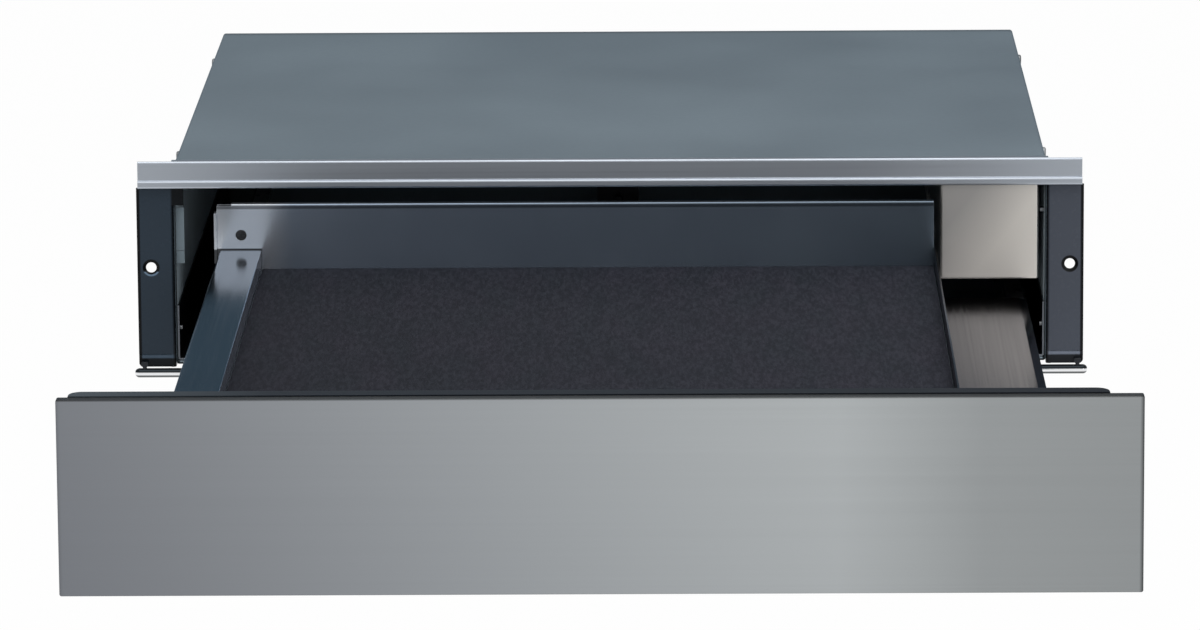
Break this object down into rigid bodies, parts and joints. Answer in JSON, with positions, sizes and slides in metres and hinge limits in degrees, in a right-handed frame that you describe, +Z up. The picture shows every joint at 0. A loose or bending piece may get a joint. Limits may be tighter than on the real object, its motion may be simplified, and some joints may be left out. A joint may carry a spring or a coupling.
{
  "type": "built-in warming drawer",
  "caption": "Built-in warming drawer: a flat steel front, a wide tray with an anti-slip mat on telescopic slides, in a sheet-metal housing with side fixing flanges.",
  "frame": {"origin": "midway between the two cabinet screw holes, in the back plane of the side flanges, where they meet the cabinet", "axes": "+X to the right seen from the front, +Y into the cabinet, +Z up; the drawer is pulled fully out towards -Y"},
  "size_m": [0.595, 1.061, 0.1466],
  "materials": {
    "coated_steel": "satin, aluminised sheet",
    "trim_steel": "brushed lengthwise",
    "panel_steel": "brushed lengthwise",
    "polished_steel": "nearly mirror bright",
    "black_metal": "semi-gloss black paint",
    "chrome": "bright",
    "zinc_steel": "zinc plated",
    "dark_screw": "dark burnished",
    "fan_aluminium": "plain",
    "motor_iron": "varnished laminations",
    "element_sheath": "heat-darkened",
    "black_plastic": "fine texture",
    "pale_plastic": "plain",
    "amber_lens": "clear amber",
    "mat_rubber": "fine speckled grain",
    "black_rubber": "matte",
    "mineral_wool": "loose fibre"
  },
  "bodies": {
    "housing": {"blower_baffle": "coated_steel", "blower_box": "polished_steel", "cable_gland": "black_plastic", "cross_rod": "chrome", "fan_brackets": "coated_steel", "fan_motor": "motor_iron", "floor_plate": "coated_steel", "front_trim": "trim_steel", "heating_element": "element_sheath", "housing_screws": "zinc_steel", "latch_body": "black_plastic", "latch_spring": "zinc_steel", "left_flange": "black_metal", "left_runner_channel": "black_metal", "left_side_wall": "coated_steel", "left_slide_outer": "zinc_steel", "rear_wall": "coated_steel", "right_flange": "black_metal", "right_runner_channel": "black_metal", "right_side_wall": "coated_steel", "right_slide_outer": "zinc_steel", "rod_posts": "black_metal", "slide_rivets": "zinc_steel", "terminal_block": "pale_plastic", "thermal_cutout": "black_plastic", "top_cover": "coated_steel"},
    "drawer": {"latch_striker": "zinc_steel", "tray_floor": "coated_steel", "left_shelf": "polished_steel", "right_ledge": "polished_steel", "tray_back_wall": "polished_steel", "back_wall_screw": "dark_screw", "tray_left_side": "coated_steel", "tray_right_side": "coated_steel", "tray_front_wall": "coated_steel", "tray_base_pan": "coated_steel", "tray_stiffeners": "coated_steel", "tray_rivets": "zinc_steel", "anti_slip_mat": "mat_rubber", "panel_skin": "panel_steel", "panel_liner": "black_metal", "panel_insulation": "mineral_wool", "panel_screws": "zinc_steel", "panel_bumpers": "black_rubber", "control_plate": "black_plastic", "thermostat_body": "pale_plastic", "switch_body": "black_plastic", "pilot_lamp": "amber_lens", "left_slide_inner": "zinc_steel", "right_slide_inner": "zinc_steel"},
    "left_middle": {"left_slide_middle": "zinc_steel"},
    "right_middle": {"right_slide_middle": "zinc_steel"},
    "left_cage_outer": {"left_outer_cage": "zinc_steel"},
    "right_cage_outer": {"right_outer_cage": "zinc_steel"},
    "left_cage_inner": {"left_inner_cage": "zinc_steel"},
    "right_cage_inner": {"right_inner_cage": "zinc_steel"},
    "plunger": {"latch_plunger": "pale_plastic"},
    "fan": {"fan_wheel": "fan_aluminium"},
    "knob": {"thermostat_knob": "black_plastic"},
    "rocker": {"rocker_switch": "black_plastic"}
  },
  "joints": [
    {"name": "drawer_slide", "type": "slide", "parent": "housing", "child": "drawer", "axis": [0, 1, 0], "range_m": [0, 0.51]},
    {"name": "left_middle_slide", "type": "slide", "parent": "housing", "child": "left_middle", "axis": [0, 1, 0], "range_m": [0, 0.255]},
    {"name": "left_outer_cage_slide", "type": "slide", "parent": "housing", "child": "left_cage_outer", "axis": [0, 1, 0], "range_m": [0, 0.1275]},
    {"name": "left_inner_cage_slide", "type": "slide", "parent": "housing", "child": "left_cage_inner", "axis": [0, 1, 0], "range_m": [0, 0.3825]},
    {"name": "right_middle_slide", "type": "slide", "parent": "housing", "child": "right_middle", "axis": [0, 1, 0], "range_m": [0, 0.255]},
    {"name": "right_outer_cage_slide", "type": "slide", "parent": "housing", "child": "right_cage_outer", "axis": [0, 1, 0], "range_m": [0, 0.1275]},
    {"name": "right_inner_cage_slide", "type": "slide", "parent": "housing", "child": "right_cage_inner", "axis": [0, 1, 0], "range_m": [0, 0.3825]},
    {"name": "latch_press", "type": "slide", "parent": "housing", "child": "plunger", "axis": [0, 1, 0], "range_m": [0, 0.005], "stiffness_N_per_m": 400, "springref_m": -0.004, "deforming": ["latch_spring"]},
    {"name": "fan_spin", "type": "hinge", "parent": "housing", "child": "fan", "pos_m": [0.235, 0.1985, 0.03], "axis": [0, 1, 0], "continuous": true},
    {"name": "knob_turn", "type": "hinge", "parent": "drawer", "child": "knob", "pos_m": [0.221, -0.4865, -0.017], "axis": [0, 0, -1], "range_deg": [0, 270]},
    {"name": "switch_rock", "type": "hinge", "parent": "drawer", "child": "rocker", "pos_m": [0.221, -0.4515, -0.0236], "axis": [-1, 0, 0], "range_deg": [0, 16]}
  ],
  "couplings": [
    {"joint": "left_middle_slide", "follows": "drawer_slide", "ratio": 0.5},
    {"joint": "left_outer_cage_slide", "follows": "drawer_slide", "ratio": 0.25},
    {"joint": "left_inner_cage_slide", "follows": "drawer_slide", "ratio": 0.75},
    {"joint": "right_middle_slide", "follows": "drawer_slide", "ratio": 0.5},
    {"joint": "right_outer_cage_slide", "follows": "drawer_slide", "ratio": 0.25},
    {"joint": "right_inner_cage_slide", "follows": "drawer_slide", "ratio": 0.75}
  ]
}
